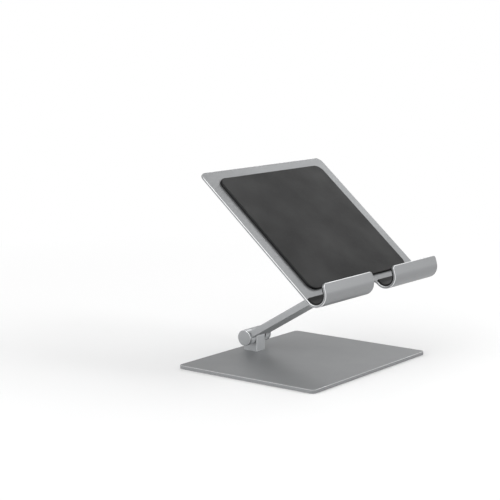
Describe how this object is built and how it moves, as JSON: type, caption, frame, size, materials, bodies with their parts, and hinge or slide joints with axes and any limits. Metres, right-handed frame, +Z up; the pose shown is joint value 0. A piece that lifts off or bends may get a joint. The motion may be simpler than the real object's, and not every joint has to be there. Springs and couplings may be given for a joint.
{
  "type": "tablet stand",
  "caption": "Folding desk stand for a tablet: flat weighted base, a friction-hinged arm and a bent metal tray with two lined hooks and a cable gap.",
  "frame": {"origin": "centre of the underside, on the table", "axes": "+Z up, +X to the right along both hinge axes, +Y to the back; the hooks are at the front"},
  "size_m": [0.17, 0.1486, 0.1657],
  "materials": {
    "base_steel": "satin silver",
    "arm_aluminium": "satin anodised",
    "tray_aluminium": "satin anodised",
    "cap_metal": "satin anodised",
    "silicone": "matt black",
    "hinge_steel": "turned",
    "spring_steel": "oiled",
    "bearing_plastic": "moulded"
  },
  "bodies": {
    "base": {"base_plate": "base_steel", "anti_slip_mat": "silicone", "hinge_post": "arm_aluminium", "post_screws": "hinge_steel", "lower_bush": "bearing_plastic", "lower_friction_discs": "bearing_plastic"},
    "arm": {"arm_link": "arm_aluminium", "lower_pin": "hinge_steel", "lower_lock_nut": "hinge_steel", "lower_disc_springs": "spring_steel", "lower_cap_left": "cap_metal", "lower_cap_right": "cap_metal", "upper_pin": "hinge_steel", "upper_lock_nut": "hinge_steel", "upper_disc_springs": "spring_steel", "upper_cap_left": "cap_metal", "upper_cap_right": "cap_metal"},
    "tray": {"tray_plate": "tray_aluminium", "tray_bracket": "tray_aluminium", "tray_screws": "hinge_steel", "upper_bush": "bearing_plastic", "upper_friction_discs": "bearing_plastic", "back_pad": "silicone", "hook_liner_left": "silicone", "hook_liner_right": "silicone"}
  },
  "joints": [
    {"name": "arm_tilt", "type": "hinge", "parent": "base", "child": "arm", "pos_m": [0, 0.0533, 0.0159], "axis": [-1, 0, 0], "range_deg": [-31, 45]},
    {"name": "tray_tilt", "type": "hinge", "parent": "arm", "child": "tray", "pos_m": [0, -0.04373, 0.0742], "axis": [1, 0, 0], "range_deg": [-71.63, 18]}
  ]
}
